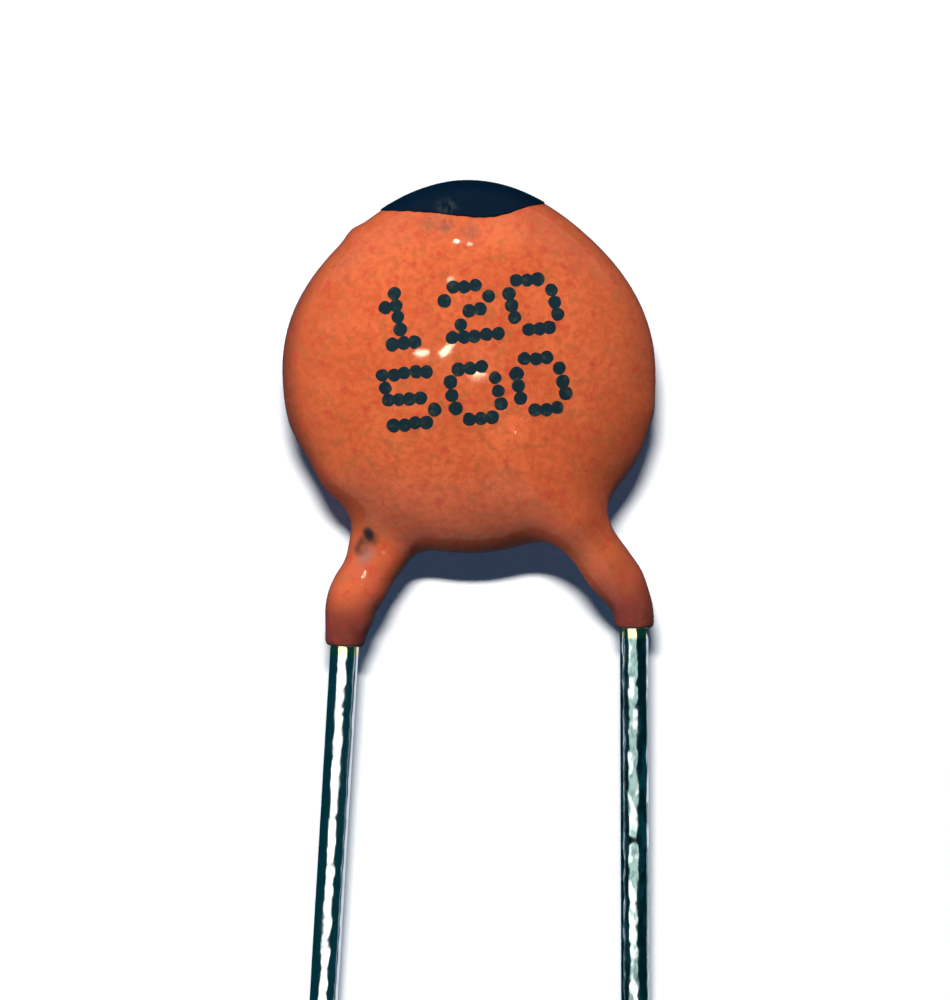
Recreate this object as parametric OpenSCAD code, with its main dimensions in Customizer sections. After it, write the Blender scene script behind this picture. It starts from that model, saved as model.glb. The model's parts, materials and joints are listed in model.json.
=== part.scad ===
// Ceramic disc capacitor with two radial wire leads and a dipped coating. Millimetres.
//
// Every piece is modelled in the disc's own frame: the disc's centre is the origin, its axis is Z,
// the front face looks along +Z and the leads run towards -Y. laid_down() then rests the finished
// part on a level surface: on the bulge of its rear face and on the tips of both leads.
//
// The front lead is soldered to the front electrode and leaves on the +X side. The rear lead is the
// same shape turned half a turn about Y, with its own splay, so both share one set of functions.

/* [Ceramic element] */
// Diameter of the fired ceramic disc
ceramic_d = 5.4; // [4.6:0.1:5.6]
// Thickness of the ceramic between its electrodes
ceramic_t = 0.35; // [0.2:0.05:0.6]
// Edge break around both faces of the ceramic
ceramic_chamfer = 0.05; // [0.02:0.01:0.08]
// Bare ceramic left around each silver electrode
electrode_margin = 0.3; // [0.15:0.05:0.6]
// Thickness of each fired silver electrode
electrode_t = 0.02; // [0.01:0.005:0.05]

/* [Solder] */
// Thickness of the tinning over each electrode
solder_film = 0.05; // [0.04:0.01:0.08]
// Solder left between a lead and its electrode
solder_bed = 0.02; // [0.01:0.005:0.03]
// Silver left untinned around the solder
solder_margin = 0.1; // [0.05:0.05:0.3]
// Flat top of the solder fillet on each side of the wire
solder_land = 0.03; // [0.02:0.01:0.06]
// Solder past the cut end of the wire
solder_overrun = 0.25; // [0.1:0.05:0.5]

/* [Leads] */
// Diameter of the tinned wire
lead_d = 0.5; // [0.4:0.05:0.6]
// Distance between the two leads where they are kinked
lead_pitch = 5.08; // [4.6:0.01:5.6]
// Sideways shift of the pair of leads from the disc's centre
lead_offset = 0.39; // [0:0.01:0.6]
// Distance from the disc's centre down to the kinks
kink_drop = 4.14; // [3.9:0.01:4.6]
// Bending radius of the wire's centreline at a kink
kink_radius = 1; // [0.8:0.05:1.3]
// Outward lean of the front lead below its kink, in degrees
front_splay = 0.2; // [0:0.1:5]
// Outward lean of the rear lead below its kink, in degrees
rear_splay = 3.4; // [0:0.1:5]
// Distance from the disc's centre to the level of the lead tips
lead_reach = 24.5; // [10:0.5:34]
// How far a lead runs on past the disc's centre
wire_overrun = 0.9; // [0.3:0.1:1.6]
// Steepness of the step that lifts a lead onto its face, in degrees
step_angle = 20; // [15:1:28]
// Bending radius of the wire's centreline in that step
step_radius = 0.8; // [0.6:0.05:1]
// Straight wire between a kink's bend and the step
step_gap = 0.05; // [0.02:0.01:0.2]

/* [Coating] */
// Diameter of the coated disc
body_d = 6.5; // [6.2:0.1:7.4]
// Thickness of the coated disc at its middle
body_t = 2.5; // [2.2:0.1:3.4]
// Fullness of the faces: 2 is an ellipse, more is flatter with a tighter rim
body_fullness = 2.3; // [2:0.1:3]
// How far the crown stands out and the shoulders fall back from a true circle
body_lobe = 0.09; // [0:0.005:0.15]
// Extra fullness of the rim beside the front lead
flank_swell = 0.14; // [0:0.01:0.15]
// Direction of that fullness from the disc's centre, in degrees
flank_angle = -30; // [-35:1:-15]
// Coating around the wire along a leg
leg_coat = 0.19; // [0.1:0.01:0.25]
// Coating around the wire where a leg ends
leg_end_coat = 0.08; // [0.05:0.01:0.1]
// Length over which a leg's coating thins towards its end
leg_taper = 1.6; // [0.8:0.1:2]
// How far the coating runs down the front lead below its kink
front_leg_run = 0.44; // [0.4:0.01:1.2]
// How far the coating runs down the rear lead below its kink
rear_leg_run = 0.76; // [0.4:0.01:1.2]
// Softness of the webs where the legs grow out of the disc
neck_blend = 0.75; // [0.4:0.05:0.9]
// Distance from the disc's centre to where a leg begins to lift the dome
leg_root = 1.6; // [1.2:0.1:2]

/* [Black tip] */
// How far down from the crown the black tip reaches
tip_depth = 0.62; // [0.3:0.01:0.9]
// Radius of the bowed lower edge of the black tip
tip_bow = 6.5; // [4:0.5:20]
// Sideways shift of that bow's lowest point
tip_shift = 0.2; // [-0.5:0.05:0.5]
// Thickness of the black ink film
tip_film = 0.03; // [0.02:0.01:0.05]

/* [Hidden] */
$fn = 64;

lead_r = lead_d / 2;
WIRE_SIDES = 24;
BEND_STEPS = 4;
// The bent wire's last stretch runs on straight, half of it inside the true cylinder below the kink
wire_lap = 0.2;
wire_inset = 0.002;
electrode_d = ceramic_d - 2 * electrode_margin;
solder_d = electrode_d - 2 * solder_margin;
// Heights above the disc's mid-plane: face of the silver, axis of a soldered wire
silver_z = ceramic_t / 2 + electrode_t;
wire_z = silver_z + solder_bed + lead_r;

// A side is [sign, kink x, splay, coating run]. Sign is 1 in front and -1 behind.
FRONT = [1, lead_pitch / 2 + lead_offset, front_splay, front_leg_run];
REAR = [-1, lead_pitch / 2 - lead_offset, rear_splay, rear_leg_run];
function sign_of(side) = side[0];
function kink_x(side) = side[1];
function splay(side) = side[2];
function coat_run(side) = side[3];

// ---- Centreline of a lead, seen in plan ----
// Angles are measured from -Y outwards. Stations are distances from the disc's centre along the wire.
function leg_angle(side) = atan(kink_x(side) / kink_drop);
function kink_bend(side) = leg_angle(side) - splay(side);
function kink_tangent(side) = kink_radius * tan(kink_bend(side) / 2);
function kink_start(side) = norm([kink_x(side), kink_drop]) - kink_tangent(side);
function kink_end(side) = kink_start(side) + kink_radius * kink_bend(side) * PI / 180;
function straight_start(side) = kink_end(side) + wire_lap / 2;
function straight_length(side) =
    (lead_reach - kink_drop) / cos(splay(side)) - kink_tangent(side) - wire_lap / 2;
function along(angle) = [sin(angle), -cos(angle)];
function across(angle) = [cos(angle), sin(angle)];

function heading(side, s) =
    s <= kink_start(side) ? leg_angle(side)
    : s >= kink_end(side) ? splay(side)
    : leg_angle(side) - (s - kink_start(side)) / kink_radius * 180 / PI;

function centreline(side, s) =
    let (slanted = min(s, kink_start(side)) * along(leg_angle(side)),
         turned = kink_radius * (across(heading(side, s)) - across(leg_angle(side))),
         hanging = max(s - kink_end(side), 0) * along(splay(side)))
    slanted + turned + hanging;

// ---- Step that lifts a lead from the plane of the pair onto its electrode ----
step_arc_run = step_radius * sin(step_angle);
step_arc_rise = step_radius * (1 - cos(step_angle));
step_slope = (wire_z - 2 * step_arc_rise) / sin(step_angle);
step_run = 2 * step_arc_run + step_slope * cos(step_angle);
function step_foot(side) = kink_start(side) - step_gap;
function arc_rise(run) = step_radius - sqrt(step_radius * step_radius - run * run);

// Height of the wire's axis after a run up the step
function rise(run) =
    run <= 0 ? 0
    : run <= step_arc_run ? arc_rise(run)
    : run <= step_run - step_arc_run ? step_arc_rise + (run - step_arc_run) * tan(step_angle)
    : run <= step_run ? wire_z - arc_rise(step_run - run)
    : wire_z;
function wire_height(side, s) = rise(step_foot(side) - s);

// Steepness of the wire at a station
function steepness(side, s) =
    let (run = step_foot(side) - s)
    run <= 0 || run >= step_run ? 0
    : min(step_angle, asin(min(run, step_run - run, step_arc_run) / step_radius));

// ---- Shape of the coating ----
body_r = body_d / 2;
function coat_end(side) = kink_end(side) + coat_run(side) / cos(splay(side)) - kink_tangent(side);
function smooth_step(x) = let (t = min(max(x, 0), 1)) t * t * (3 - 2 * t);
function smooth_min(a, b, blend) =
    let (near = max(blend - abs(a - b), 0) / blend) min(a, b) - near * near * blend / 4;
function leg_radius(side, s) =
    lead_r + leg_end_coat
    + (leg_coat - leg_end_coat) * smooth_step((coat_end(side) - s) / leg_taper);

// Radius of the coated disc: a circle with a crown, two flattened shoulders and one full flank
FLANK_NARROWNESS = 16;
function rim_radius(angle) =
    body_r + body_lobe * cos(4 * angle) * (1 + sin(angle)) / 2
    + flank_swell * exp(FLANK_NARROWNESS * (cos(angle - flank_angle) - 1));
crown_y = rim_radius(90);

// Distance outside the dome of the disc
function outside_disc(p) =
    let (r = norm([p.x, p.y]), half_t = body_t / 2,
         plan = pow(r / rim_radius(atan2(p.y, p.x)), body_fullness),
         level = sqrt(plan + pow(p.z / half_t, 2)),
         slope = norm([body_fullness * plan / max(r, TINY), 2 * p.z / (half_t * half_t)]))
    2 * level * (level - 1) / max(slope, TINY);

// Distance outside the coated wire of a leg, which begins under the dome
function outside_leg(p, side) =
    let (way = [sign_of(side) * sin(leg_angle(side)), -cos(leg_angle(side))],
         plan = [p.x, p.y], s = max(plan * way, leg_root),
         lift = (sign_of(side) * p.z - wire_height(side, s)) * cos(steepness(side, s)))
    norm([norm(plan - s * way), lift]) - leg_radius(side, s);

// Distance outside the whole coating, with soft webs where the legs meet the disc
function outside(p) =
    smooth_min(smooth_min(outside_disc(p), outside_leg(p, FRONT), neck_blend),
               outside_leg(p, REAR), neck_blend);

// Triangles that close a flat ring of points, given in order
function cap(ring) = [for (i = [1:len(ring) - 2]) [ring[0], ring[i], ring[i + 1]]];

// ---- Skin of the coating ----
// Rays are cast from a spine, which is the disc's centre and the wires of both legs, out to the skin.
TINY = 1e-6;
RINGS = 7;
DISC_STEP = 6;
FAN_STATIONS = 7;
LEG_STATIONS = 14;
// Angles from a leg to the nearest ray of its fan, across the outer fan, and the inner fan's share
FAN_ROOT = 13;
OUTER_SPREAD = 26;
INNER_SHARE = 0.85;
CAST_TURNS = 8;

// Stations of one leg: a fan inside the disc, then square sections out to the end of the coating
function station(side, j) =
    j <= FAN_STATIONS ? body_r * j / FAN_STATIONS
    : body_r + (coat_end(side) - body_r) * (j - FAN_STATIONS) / LEG_STATIONS;
last_station = FAN_STATIONS + LEG_STATIONS;

// Hand is 1 on the outer side of a leg and -1 on the side of the crotch
function fan_spread(hand) =
    hand > 0 ? OUTER_SPREAD
    : INNER_SHARE * ((leg_angle(FRONT) + leg_angle(REAR)) / 2 - FAN_ROOT);
function fan_angle(side, j, hand) =
    -90 + sign_of(side)
        * (leg_angle(side) + hand * (FAN_ROOT + fan_spread(hand) * (1 - j / FAN_STATIONS)));
function fan_start(side, hand) = fan_angle(side, 0, hand);
function rim_point(angle) = rim_radius(angle) * [cos(angle), sin(angle), 0];

// The spine climbs from the disc's middle to the wire as it nears the rim
function spine_point(side, s) =
    let (plan = centreline(side, s))
    [sign_of(side) * plan.x, plan.y,
     sign_of(side) * wire_height(side, s) * smooth_step((s - leg_root) / (body_r - leg_root))];

// A ray is [spine point, point it aims at, height of the skin over the spine, number of its spine
// point, whether its skin is the plain round of a leg]
function start_of(ray) = ray[0];
function aim_of(ray) = ray[1];
function crest_of(ray) = ray[2];
function spine_of(ray) = ray[3];
function is_plain(ray) = ray[4];

function spine_number(side, j) = j == 0 ? 0 : (side == FRONT ? 0 : last_station) + j;
function leg_ray(side, j, hand) =
    let (s = station(side, j), from = spine_point(side, s), way = hand * across(heading(side, s)),
         aside = leg_radius(side, s) * [sign_of(side) * way.x, way.y, 0],
         aim = j < FAN_STATIONS ? rim_point(fan_angle(side, j, hand)) : from + aside)
    [from, aim, max(leg_radius(side, s), dome_height(s)), spine_number(side, j), s > step_foot(side)];
function disc_ray(angle) = [[0, 0, 0], rim_point(angle), body_t / 2, 0, false];
function dome_height(r) = body_t / 2 * sqrt(1 - pow(min(r / body_r, 1), body_fullness));

// Rays from one angle to another, leaving out both ends
function disc_rays(first, last) =
    let (count = ceil((last - first) / DISC_STEP))
    [for (i = [1:1:count - 1]) disc_ray(first + (last - first) * i / count)];

// All rays, anticlockwise from the end of the front leg
crown_rays = disc_rays(fan_start(FRONT, 1), fan_start(REAR, 1) + 360);
crotch_rays = disc_rays(fan_start(REAR, -1), fan_start(FRONT, -1));
rays = [
    for (j = [last_station:-1:0]) leg_ray(FRONT, j, 1),
    each crown_rays,
    for (j = [0:last_station]) leg_ray(REAR, j, 1),
    for (j = [last_station:-1:0]) leg_ray(REAR, j, -1),
    each crotch_rays,
    for (j = [0:last_station]) leg_ray(FRONT, j, -1)
];
spine_rays = [
    leg_ray(FRONT, 0, 1),
    for (j = [1:last_station]) leg_ray(FRONT, j, 1),
    for (j = [1:last_station]) leg_ray(REAR, j, 1)
];

// How far along a ray the skin lies, closing in on it from two guesses, a and b
function cast(from, way, film, a, b, gap_a, turns) =
    let (gap_b = outside(from + b * way) - film)
    turns == 0 || abs(gap_b) < TINY ? b
    : cast(from, way, film, b, max(b - gap_b * (b - a) / (gap_b - gap_a), a / 2), gap_b, turns - 1);

// A point of the skin: face is 1 in front and -1 behind, out runs from 0 on the spine to 1 at the edge
function skin_point(ray, out, face, film = 0) =
    let (from = start_of(ray), rise = [0, 0, face * crest_of(ray) * sqrt(1 - out * out)],
         way = out * (aim_of(ray) - from) + rise, guess = 0.9)
    from + way * (is_plain(ray) ? 1
                  : cast(from, way, film, guess, 1, outside(from + guess * way) - film, CAST_TURNS));
function ring_out(k) = sin(90 * k / RINGS);

// Each ray owns its front rings, its edge and its rear rings, in that order
per_ray = 2 * RINGS - 1;
function front_index(i, k) = i * per_ray + k - 1;
function rear_index(i, k) = k == RINGS ? front_index(i, k) : i * per_ray + RINGS + k - 1;
spine_base = len(rays) * per_ray;
function front_spine(i) = spine_base + spine_of(rays[i]);
function rear_spine(i) = spine_base + len(spine_rays) + spine_of(rays[i]);

coat_points = [
    for (ray = rays) each [
        for (k = [1:RINGS]) skin_point(ray, ring_out(k), 1),
        for (k = [1:RINGS - 1]) skin_point(ray, ring_out(k), -1)
    ],
    for (ray = spine_rays) skin_point(ray, 0, 1),
    for (ray = spine_rays) skin_point(ray, 0, -1)
];

// Rays on either side of a leg's flat end aren't joined by skin
function at_leg_end(i, next) = spine_of(rays[i]) == spine_of(rays[next]) && spine_of(rays[i]) != 0;

coat_strips = [
    for (i = [0:len(rays) - 1])
        let (n = (i + 1) % len(rays))
        if (!at_leg_end(i, n)) each [
            for (k = [1:RINGS - 1]) each [
                [front_index(i, k), front_index(n, k), front_index(n, k + 1)],
                [front_index(i, k), front_index(n, k + 1), front_index(i, k + 1)],
                [rear_index(i, k), rear_index(n, k + 1), rear_index(n, k)],
                [rear_index(i, k), rear_index(i, k + 1), rear_index(n, k + 1)]
            ],
            [front_spine(i), front_index(n, 1), front_index(i, 1)],
            [rear_spine(i), rear_index(i, 1), rear_index(n, 1)],
            if (front_spine(i) != front_spine(n)) each [
                [front_spine(i), front_spine(n), front_index(n, 1)],
                [rear_spine(i), rear_index(n, 1), rear_spine(n)]
            ]
        ]
];

// Flat end of a leg, between the last ray of one side and the first of the other
function end_face(i, n) = [
    for (k = [RINGS:-1:1]) front_index(i, k),
    front_spine(i),
    for (k = [1:RINGS]) front_index(n, k),
    for (k = [RINGS - 1:-1:1]) rear_index(n, k),
    rear_spine(i),
    for (k = [1:RINGS - 1]) rear_index(i, k)
];
end_faces = [
    for (i = [0:len(rays) - 1])
        let (n = (i + 1) % len(rays))
        if (at_leg_end(i, n)) each cap(end_face(i, n))
];

module coat_shape() {
    polyhedron(points = coat_points, faces = concat(coat_strips, end_faces), convexity = 6);
}

// ---- Wire, in its own side's frame ----
function steps(from, to) = [for (i = [0:BEND_STEPS]) from + (to - from) * i / BEND_STEPS];
function wire_stations(side) = [
    -wire_overrun,
    each steps(step_foot(side) - step_run, step_foot(side) - step_run + step_arc_run),
    each steps(step_foot(side) - step_arc_run, step_foot(side)),
    each steps(kink_start(side), kink_end(side)),
    kink_end(side) + wire_lap
];

// Ring of points around the wire, square to it. Flats, and no corners, face the sides and the disc.
function wire_ring(side, s) =
    let (centre = centreline(side, s), turn = heading(side, s), slope = steepness(side, s),
         middle = [centre.x, centre.y, wire_height(side, s)],
         sideways = [cos(turn), sin(turn), 0],
         upwards = [sin(turn) * sin(slope), -cos(turn) * sin(slope), cos(slope)])
    [for (i = [0:WIRE_SIDES - 1])
        let (angle = 360 * (i + 0.5) / WIRE_SIDES)
        middle + (lead_r - wire_inset) * (cos(angle) * sideways + sin(angle) * upwards)];

module bent_wire(side) {
    stations = wire_stations(side);
    last = len(stations) - 1;
    points = [for (s = stations) each wire_ring(side, s)];
    faces = [
        for (k = [0:last - 1]) for (i = [0:WIRE_SIDES - 1])
            let (a = k * WIRE_SIDES + i, b = k * WIRE_SIDES + (i + 1) % WIRE_SIDES)
            each [[a, a + WIRE_SIDES, b + WIRE_SIDES], [a, b + WIRE_SIDES, b]],
        each cap([for (i = [0:WIRE_SIDES - 1]) i]),
        each cap([for (i = [WIRE_SIDES - 1:-1:0]) last * WIRE_SIDES + i])
    ];
    polyhedron(points = points, faces = faces, convexity = 4);
}

module straight_wire(side) {
    top = centreline(side, straight_start(side));
    translate([top.x, top.y, 0]) rotate([90, 0, splay(side)])
        cylinder(r = lead_r, h = straight_length(side));
}

module wire(side) {
    straight_wire(side);
    bent_wire(side);
}

// ---- Placing ----
module on_side(side) {
    rotate([0, sign_of(side) > 0 ? 0 : 180, 0]) children();
}

// Depth of the coating's lowest point when the leads are tipped down by an angle
function coat_depth(tilt) = max([for (p = coat_points) -p.y * sin(tilt) - p.z * cos(tilt)]);
function settled(tilt, turns) =
    turns == 0 ? tilt
    : settled(asin((coat_depth(tilt) - lead_r * cos(tilt)) / lead_reach), turns - 1);
rest_tilt = settled(0, 6);
rest_lift = coat_depth(rest_tilt);

// Middle of the box around the part at rest
rear_tip_x = kink_x(REAR) + (lead_reach - kink_drop) * tan(rear_splay) + lead_r * cos(rear_splay);
left_x = min(-rear_tip_x, min([for (p = coat_points) p.x]));
right_x = max([for (p = coat_points) p.x]);
top_y = (crown_y + tip_film) * cos(rest_tilt);
bottom_y = -(lead_reach + lead_r * sin(rear_splay)) * cos(rest_tilt) - lead_r * sin(rest_tilt);

module laid_down() {
    translate([-(left_x + right_x) / 2, -(top_y + bottom_y) / 2, rest_lift])
        rotate([rest_tilt, 0, 0]) children();
}

// ---- Sub-parts in the disc's frame ----
module ceramic() {
    r = ceramic_d / 2;
    h = ceramic_t / 2;
    c = ceramic_chamfer;
    rotate_extrude() polygon([[0, -h], [r - c, -h], [r, c - h], [r, h - c], [r - c, h], [0, h]]);
}

module electrode() {
    translate([0, 0, ceramic_t / 2]) cylinder(d = electrode_d, h = electrode_t);
}

// Concave fillets up both sides of a soldered wire, cut to the round of the tinning
module fillets(side) {
    intersection() {
        translate([0, 0, silver_z]) cylinder(d = solder_d, h = wire_z);
        rotate([90, 0, leg_angle(side)]) translate([0, silver_z, -wire_overrun - solder_overrun])
            linear_extrude(height = solder_d / 2 + wire_overrun + solder_overrun) fillet_section();
    }
}

module fillet_section() {
    fillet_r = wire_z - silver_z;
    flank = lead_r + solder_land;
    difference() {
        translate([-flank - fillet_r, 0]) square([2 * (flank + fillet_r), fillet_r]);
        for (hand = [-1, 1])
            translate([hand * (flank + fillet_r), fillet_r + solder_film / 2]) circle(r = fillet_r);
    }
}

module solder(side) {
    difference() {
        union() {
            translate([0, 0, silver_z]) cylinder(d = solder_d, h = solder_film);
            fillets(side);
        }
        wire(side);
    }
}

// Half section of the ceramic with its silver and tinning on both faces
function half_stack(r, silver_r, tin_r, c) = [
    [r, ceramic_t / 2 - c], [r - c, ceramic_t / 2], [silver_r, ceramic_t / 2], [silver_r, silver_z],
    [tin_r, silver_z], [tin_r, silver_z + solder_film], [0, silver_z + solder_film]
];

// Everything that the coating is dipped over
module element() {
    upper = half_stack(ceramic_d / 2, electrode_d / 2, solder_d / 2, ceramic_chamfer);
    lower = [for (i = [len(upper) - 1:-1:0]) [upper[i].x, -upper[i].y]];
    rotate_extrude() polygon(concat(lower, upper));
    for (side = [FRONT, REAR]) on_side(side) {
        fillets(side);
        wire(side);
    }
}

// Film of ink over the crown, on both faces, down to a bowed edge
module ink_cap() {
    intersection() {
        difference() {
            ink_blank();
            coat_shape();
        }
        translate([tip_shift, crown_y - tip_depth + tip_bow, -body_t])
            cylinder(r = tip_bow, h = 2 * body_t);
    }
}

INK_INNER_RING = 3;
ink_rays = [for (ray = crown_rays) if (aim_of(ray).y > abs(aim_of(ray).x)) ray];

// Closed wedge of the crown, one film thicker than the coating
module ink_blank() {
    // Columns of each ray from the front to the rear over the edge, then the inner wall
    outs = [for (k = [INK_INNER_RING:RINGS]) [ring_out(k), 1],
            for (k = [RINGS - 1:-1:INK_INNER_RING]) [ring_out(k), -1]];
    columns = len(outs);
    points = [for (ray = ink_rays) for (o = outs) skin_point(ray, o[0], o[1], tip_film)];
    last = len(ink_rays) - 1;
    faces = [
        for (i = [0:last - 1]) for (c = [0:columns - 1])
            let (a = i * columns + c, b = i * columns + (c + 1) % columns)
            each [[a, a + columns, b + columns], [a, b + columns, b]],
        each cap([for (c = [0:columns - 1]) c]),
        each cap([for (c = [columns - 1:-1:0]) last * columns + c])
    ];
    polyhedron(points = points, faces = faces, convexity = 4);
}

// ---- Nodes ----
module coating() {
    color("#d9622f") laid_down() difference() {
        coat_shape();
        element();
    }
}

module tip_mark() {
    color("#10202c") laid_down() ink_cap();
}

module front_lead() {
    color("#c9ced2") laid_down() on_side(FRONT) wire(FRONT);
}

module rear_lead() {
    color("#c9ced2") laid_down() on_side(REAR) wire(REAR);
}

module front_solder() {
    color("#a9adb0") laid_down() on_side(FRONT) solder(FRONT);
}

module rear_solder() {
    color("#a9adb0") laid_down() on_side(REAR) solder(REAR);
}

module front_electrode() {
    color("#dcdcd6") laid_down() on_side(FRONT) electrode();
}

module rear_electrode() {
    color("#dcdcd6") laid_down() on_side(REAR) electrode();
}

module ceramic_disc() {
    color("#e9e4d4") laid_down() ceramic();
}

coating();
tip_mark();
front_lead();
rear_lead();
front_solder();
rear_solder();
front_electrode();
rear_electrode();
ceramic_disc();
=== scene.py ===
import json
import logging
import math
from dataclasses import dataclass, field, replace
from enum import Enum

import bmesh
import bpy
import numpy as np
from mathutils import Matrix, Vector, noise


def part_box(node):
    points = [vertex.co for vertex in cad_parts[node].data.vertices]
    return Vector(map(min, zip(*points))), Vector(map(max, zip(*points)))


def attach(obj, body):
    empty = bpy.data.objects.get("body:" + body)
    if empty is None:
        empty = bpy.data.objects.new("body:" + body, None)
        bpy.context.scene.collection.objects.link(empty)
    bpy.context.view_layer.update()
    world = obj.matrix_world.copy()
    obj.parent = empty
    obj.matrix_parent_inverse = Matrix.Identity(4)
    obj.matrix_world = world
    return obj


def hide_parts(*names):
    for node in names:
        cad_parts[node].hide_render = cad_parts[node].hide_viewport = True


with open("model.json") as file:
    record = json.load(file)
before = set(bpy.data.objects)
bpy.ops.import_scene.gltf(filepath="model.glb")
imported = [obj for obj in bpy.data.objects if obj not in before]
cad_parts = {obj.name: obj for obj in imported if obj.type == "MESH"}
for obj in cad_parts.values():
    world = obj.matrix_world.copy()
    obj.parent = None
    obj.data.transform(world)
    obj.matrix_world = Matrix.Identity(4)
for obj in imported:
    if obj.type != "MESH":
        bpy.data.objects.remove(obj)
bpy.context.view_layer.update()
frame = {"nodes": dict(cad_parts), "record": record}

LOG = logging.getLogger("disc_capacitor")
MM = 0.001
Socket = bpy.types.NodeSocket
Material = bpy.types.Material
BMesh = bmesh.types.BMesh
Pair = tuple[float, float]
Triple = tuple[float, float, float]
Colour = tuple[float, float, float, float]
TINY = 1e-6


# ---- Shapes shared by the pieces ----


class Side(Enum):
    """Face of the disc that a lead is soldered to."""

    FRONT = 1
    REAR = -1


def smooth_step(x: np.ndarray) -> np.ndarray:
    """Runs from 0 to 1 with level ends."""
    t = np.clip(x, 0, 1)
    return t * t * (3 - 2 * t)


def smooth_min(a: np.ndarray, b: np.ndarray, blend: float) -> np.ndarray:
    """Smaller of two distances, rounded where they are nearly equal."""
    near = np.maximum(blend - np.abs(a - b), 0) / blend
    return np.minimum(a, b) - near * near * blend / 4


def smooth_max(a: np.ndarray, b: np.ndarray, blend: float) -> np.ndarray:
    """Larger of two distances, rounded where they are nearly equal."""
    return -smooth_min(-a, -b, blend)


@dataclass(frozen=True)
class DiscPose:
    """Where the disc's own frame lies in the row."""

    centre: Vector
    tilt: float

    @classmethod
    def from_row(cls) -> "DiscPose":
        """Reads the disc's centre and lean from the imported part.

        Returns:
            The pose, with its centre in metres and its lean about X in radians.
        """
        low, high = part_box("ceramic_disc")
        mounts = {m["name"]: m for m in frame["record"]["mounts"]}
        axis = mounts["front_lead_pin"]["axis"]
        return cls((low + high) / 2, math.atan2(-axis[2], -axis[1]))

    def to_row(self, points: np.ndarray) -> np.ndarray:
        """Places points of the disc's frame, in millimetres, in the row, in metres."""
        turn = np.array(Matrix.Rotation(self.tilt, 3, "X"))
        return np.asarray(points) @ turn.T * MM + np.array(self.centre)

    def matrix(self) -> Matrix:
        """Transform that does what to_row does."""
        turn = Matrix.Rotation(self.tilt, 4, "X")
        return Matrix.Translation(self.centre) @ turn @ Matrix.Scale(MM, 4)


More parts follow.
